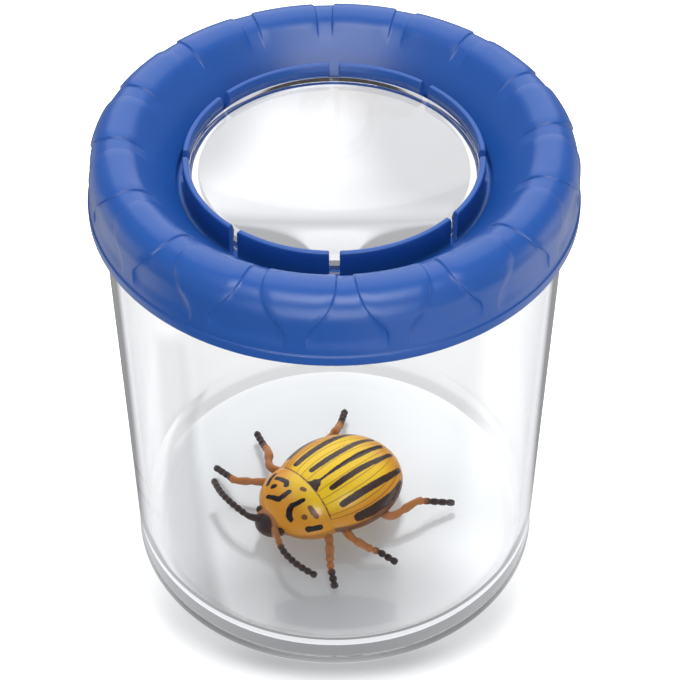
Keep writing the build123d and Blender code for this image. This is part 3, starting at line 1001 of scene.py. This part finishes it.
def build_beetle():
    """All pieces of the beetle. Returns the two on its back."""
    paint = painted_limbs("painted_limbs")
    wing_cases = build_wing_cases(painted_body("painted_wing_cases", STRIPE_BROWN))
    shield = build_shield(painted_body("painted_shield", MARK_BLACK))
    build_head(paint)
    legs = (LEG_PLACES, LEG_GIRTHS, LEG_BEADS_FROM, LEG_BEADS, LEG_BEAD_GIRTHS)
    build_limbs("beetle_legs", LEG_ROUTES, LEG_BEND, legs, LEG_RIDGE, LEG_DARK_FROM, paint)
    feelers = (ANTENNA_PLACES, ANTENNA_GIRTHS, ANTENNA_BEADS_FROM, ANTENNA_BEADS, ANTENNA_BEAD_GIRTHS)
    build_limbs(
        "beetle_antennae", ANTENNA_ROUTES, ANTENNA_BEND, feelers, ANTENNA_RIDGE, ANTENNA_DARK_FROM, paint
    )
    return [wing_cases, shield]


beetle_back = build_beetle()


# Studio: a pale floor with painted light and shade round the jar, soft lamps and the camera

FLOOR_HALF = 1.5
FLOOR_Z = -0.0003
FLOOR_LIGHT = (0.965, 0.97, 1.0)
WORLD_LEVEL = 0.3

# Light added to the paint: round the jar and at its flanks for the camera, and under, behind, at the back and
# at the front of the jar for what the clear plastic shows. Pairs of places are where a level starts and ends.
NEAR_GLOW, FAR_GLOW = 0.1, 0.8
NEAR_REACH, FAR_REACH = 0.047, 0.06
FLANK_GLOW, FLANK_REACH = 0.13, (0.012, 0.032)
UNDER_GLOWS, UNDER_SPREAD = (0.12, 0.27), (-0.002, 0.03)
BEHIND_GLOWS, BEHIND_SPREAD = (0.05, 0.14), (0.02, 0.045)
BACK_GLOW, BACK_REACH = 0.13, (-0.005, 0.022)
FRONT_GLOW, FRONT_ASIDE = 0.13, (0.009, 0.017)
FRONT_REACH, FRONT_START = (0.042, 0.037), (0.0, -0.015)

# Levels of the paint, which paint shadow and shade on the floor: a painted contact shadow in a dark ring
# before the foot, and through the clear plastic painted shade in a ring behind the foot, under the near edge
# of the foot and in a slanting streak
PAINT_LEVEL, SHADOW_RING_LEVEL = 0.8, 0.42
RING_START, SHADOW_RING_REACH = 0.0456, (0.0525, 0.046)
SHADOW_RING_FRONT = (-0.038, -0.0475)
BACK_SHADE_LEVEL, BACK_SHADE_RING, BACK_START = 0.84, (0.0545, 0.05), (0.02, 0.03)
EDGE_SHADE_LEVEL = 0.6
STREAK_SHADE_LEVEL, STREAK_X, STREAK_SLANT = 0.78, 0.036, 0.2
STREAK_WIDTH, STREAK_END = (0.0075, 0.003), (0.062, 0.054)

# Painted reflections: even levels of glow that the floor shows to light that the clear plastic has reflected,
# darker in front than behind
MIRRORED_BACK, MIRRORED_FRONT = 0.8, 0.02
MIRRORED_EDGE = (-0.06, -0.03)
SIDE_LEVELS = (0.33, 1.06)
SIDE_SHIFT = 0.002
SIDE_SLOPE, SIDE_REACH = -0.78, (0.044, 0.057)
UNDER_REACH = 0.0455
UNDER_LEVEL = 0.95
TRAPPED_LEVEL = 0.36

# The strip of floor that the lens shows, painted with light and shade: a grey level for the lid's painted
# shadow, and brighter painted pools of light where the lens gathers the lamps' light; its levels, and where
# they change along and across it
STRIP_WIDTH = (0.017, 0.012)
STRIP_START = (0.085, 0.095)
STRIP_END = (0.32, 0.28)
STRIP_SHADOW_LEVEL = 0.46
STRIP_NEAR, STRIP_NEAR_END = 0.2, (0.186, 0.15)
STRIP_SPOT, STRIP_SPOT_WIDTH, STRIP_SPOT_START = 0.4, (0.007, 0.002), (0.104, 0.112)
STRIP_SPOT_SHIFT = 0.0025
STRIP_FAR, STRIP_FAR_BEND, STRIP_FAR_START = 0.7, -11500.0, (0.167, 0.19)

# Softboxes: azimuth and elevation in degrees, distance, width and height in metres, and radiance
SOFTBOX_TARGET_Z = 0.09
SOFTBOXES = {
    "back_softbox": (90, 40, 0.6, 0.7, 0.85, 1.3),
    "key": (90, 55, 0.9, 0.16, 0.1, 120.0),
    "right_softbox": (5, 4, 0.6, 0.3, 0.25, 1.6),
    "left_softbox": (173, 2, 0.6, 0.3, 0.25, 1.0),
    "top_softbox": (-90, 62, 0.6, 0.5, 0.25, 6.0),
    "skirt_softbox": (-38, -30, 0.17, 0.28, 0.12, 0.9),
    "beetle_softbox": (18, 76, 0.6, 0.1, 0.06, 45.0),
    "front_fill": (-90, 10, 0.8, 0.8, 0.5, 3.3),
}
UNSEEN_THROUGH_PLASTIC = ("key", "top_softbox", "skirt_softbox", "beetle_softbox", "front_fill")

# Camera: lens and frame in pixels, distance in metres, elevation and pitch in degrees, and a small turn
LENS_PIXELS, FRAME_PIXELS, SENSOR_WIDTH = 2056, 680, 36.0
CAMERA_DISTANCE, CAMERA_ELEVATION, CAMERA_PITCH = 0.48314, 48.65, 44.06
CAMERA_TURN = -0.0036
CAMERA_CLIP = (0.01, 10.0)


def lit_instead(share, shader, level):
    """A shader that gives way to an even light of some level where a share is 1."""
    light = new_node(share.tree, "ShaderNodeEmission")
    light.inputs["Color"].default_value = (*FLOOR_LIGHT, 1)
    feed(level, light.inputs["Strength"])
    return share.mixed(shader, light.outputs[0])


def lens_strip(x, y):
    """How bright the strip of floor behind the jar is, which the lens spreads over its whole face: the lid's
    painted shadow, with painted pools of gathered light.
    """
    near = y.between(*STRIP_NEAR_END)
    # A painted pool of light in the middle of the strip.
    spot = near * abs(x + STRIP_SPOT_SHIFT).between(*STRIP_SPOT_WIDTH) * y.between(*STRIP_SPOT_START)
    # A painted pool of light further back, where the lens gathers the lamps' light.
    far = (y + x * x * STRIP_FAR_BEND).between(*STRIP_FAR_START)
    return near.level(STRIP_SHADOW_LEVEL, STRIP_SHADOW_LEVEL + STRIP_NEAR) + spot * STRIP_SPOT + far * STRIP_FAR


def floor_glow(path, x, y, reach, under, shade_streak):
    """The light added to the paint, for the camera and for what the clear plastic shows."""
    direct = reach.between(NEAR_REACH, FAR_REACH, NEAR_GLOW, FAR_GLOW)
    direct = direct + abs(x).between(*FLANK_REACH) * FLANK_GLOW
    behind = x.between(*BEHIND_SPREAD, *BEHIND_GLOWS)
    back = y.between(*BACK_REACH) * BACK_GLOW
    front = abs(x).between(*FRONT_ASIDE) * y.between(*FRONT_START) * reach.between(*FRONT_REACH)
    below = x.between(*UNDER_SPREAD, *UNDER_GLOWS) + back + front * FRONT_GLOW
    in_plastic = under.chosen(behind, below) * shade_streak.level(1.0, 0.0)
    direct = direct * under.level(1.0, 0.0)
    return direct * path["Is Camera Ray"] + in_plastic * path["Is Transmission Ray"]


def paint_level(path, y, reach, under, shade_streak):
    """The paint's own level, with darker zones of painted shadow and shade."""
    outside = reach > RING_START
    # A painted contact shadow: a darker ring of paint before the jar's foot.
    ring = outside * reach.between(*SHADOW_RING_REACH) * y.between(*SHADOW_RING_FRONT)
    # Painted shade in a ring behind the foot, for what the clear plastic shows.
    back_shade_ring = outside * reach.between(*BACK_SHADE_RING) * y.between(*BACK_START)
    in_plastic = path["Is Transmission Ray"]
    level = ring.level(PAINT_LEVEL, SHADOW_RING_LEVEL)
    level = level * (back_shade_ring * in_plastic).level(1.0, BACK_SHADE_LEVEL)
    level = level * (shade_streak * in_plastic).level(1.0, STREAK_SHADE_LEVEL)
    # Painted shadow: the paint under the jar's rim is darker where the camera sees it through the foot's
    # edge.
    return level * (under * path["Is Camera Ray"]).level(1.0, EDGE_SHADE_LEVEL)


def painted_reflection_level(path, x, y, under):
    """The painted reflection that the floor shows to light that the clear plastic has reflected: an even glow
    whose level is set by place and by the light's path.
    """
    behind = y.between(*MIRRORED_EDGE)
    deep = behind.level(MIRRORED_FRONT, MIRRORED_BACK)
    side = behind * (abs(x + SIDE_SHIFT) + y * SIDE_SLOPE).between(*SIDE_REACH, *SIDE_LEVELS)
    shallow = path["Transmission Depth"] < GLASS_PASSES
    trapped = path["Glossy Depth"] > GLASS_REFLECTIONS
    return trapped.chosen(under.chosen(shallow.chosen(deep, side), UNDER_LEVEL), TRAPPED_LEVEL)


def floor_paint():
    """Pale paint that keeps the object's shadow, with painted shadow and shade round the jar's foot, and that
    the camera sees as white further out. What the clear plastic shows of it has painted light, shade and
    reflections of its own, which are matched to the photograph."""
    material, tree, shader, output = new_material("floor")
    tree.nodes.remove(shader)
    path = light_path(tree)
    x, y, _ = place_in_object(tree)
    reach = (x * x + y * y).summed("SQRT")
    under = reach < UNDER_REACH
    # A slanting streak of painted shade on the floor, for what the clear plastic shows.
    streak_middle = y * STREAK_SLANT + STREAK_X
    shade_streak = abs(x + streak_middle).between(*STREAK_WIDTH) * y.between(*STREAK_END)
    paint = new_node(tree, "ShaderNodeBsdfDiffuse")
    feed(paint_level(path, y, reach, under, shade_streak), paint.inputs["Color"])
    glow = new_node(tree, "ShaderNodeEmission")
    feed(floor_glow(path, x, y, reach, under, shade_streak), glow.inputs["Strength"])
    seen = new_node(tree, "ShaderNodeAddShader")
    tree.links.new(paint.outputs[0], seen.inputs[0])
    tree.links.new(glow.outputs[0], seen.inputs[1])
    on_strip = abs(x).between(*STRIP_WIDTH) * y.between(*STRIP_START) * y.between(*STRIP_END)
    on_strip = on_strip * path["Is Transmission Ray"]
    surface = lit_instead(on_strip, seen.outputs[0], lens_strip(x, y))
    reflected = path["Glossy Depth"] > ANY_DEPTH
    surface = lit_instead(reflected, surface, painted_reflection_level(path, x, y, under))
    tree.links.new(surface, output.inputs["Surface"])
    return material


def build_floor():
    """The studio's floor, a flat card that is no part of the object."""
    mesh = bpy.data.meshes.new("floor")
    sides = ((-1, -1), (1, -1), (1, 1), (-1, 1))
    mesh.from_pydata([(x * FLOOR_HALF, y * FLOOR_HALF, FLOOR_Z) for x, y in sides], [], [(0, 1, 2, 3)])
    mesh.materials.append(floor_paint())
    add_object("floor", mesh)


def build_world():
    """A dim, even studio that the camera sees as white."""
    world = bpy.data.worlds.new("studio")
    bpy.context.scene.world = world
    world.use_nodes = True
    backdrop = world.node_tree.nodes["Background"]
    backdrop.inputs["Color"].default_value = (1, 1, 1, 1)
    feed(light_path(world.node_tree)["Is Camera Ray"].level(WORLD_LEVEL, 1.0), backdrop.inputs["Strength"])


def add_softbox(name, azimuth, elevation, distance, width, height, radiance):
    """A rectangular lamp that faces the jar's lid, with the brightness that a reflection of it shows."""
    lamp = bpy.data.lights.new(name, "AREA")
    lamp.shape = "RECTANGLE"
    lamp.size = width
    lamp.size_y = height
    lamp.energy = radiance * pi * width * height
    softbox = add_object(name, lamp)
    a, e = radians(azimuth), radians(elevation)
    back = Vector((cos(a) * cos(e), sin(a) * cos(e), sin(e)))
    softbox.location = Vector((0, 0, SOFTBOX_TARGET_Z)) + back * distance
    softbox.rotation_euler = (-back).to_track_quat("-Z", "Y").to_euler()
    softbox.visible_transmission = name not in UNSEEN_THROUGH_PLASTIC
    return softbox


def light_only(softbox, pieces):
    """Let a lamp light these pieces alone."""
    lit = bpy.data.collections.new(softbox.name + "_lights")
    for piece in pieces:
        lit.objects.link(piece)
    softbox.light_linking.receiver_collection = lit


def add_camera():
    """A camera at the photograph's viewing angle."""
    data = bpy.data.cameras.new("camera")
    data.sensor_width = SENSOR_WIDTH
    data.lens = LENS_PIXELS / FRAME_PIXELS * SENSOR_WIDTH
    data.clip_start, data.clip_end = CAMERA_CLIP
    camera = add_object("camera", data)
    elevation = radians(CAMERA_ELEVATION)
    camera.location = (0, -CAMERA_DISTANCE * cos(elevation), CAMERA_DISTANCE * sin(elevation))
    camera.rotation_euler = (pi / 2 - radians(CAMERA_PITCH), 0, CAMERA_TURN)
    bpy.context.scene.camera = camera


build_floor()
build_world()
softboxes = {name: add_softbox(name, *values) for name, values in SOFTBOXES.items()}
softboxes["key"].visible_glossy = False
softboxes["skirt_softbox"].visible_camera = False
light_only(softboxes["top_softbox"], [lid])
light_only(softboxes["skirt_softbox"], [lid])
light_only(softboxes["beetle_softbox"], beetle_back)
add_camera()
bpy.context.scene.view_settings.view_transform = "Standard"
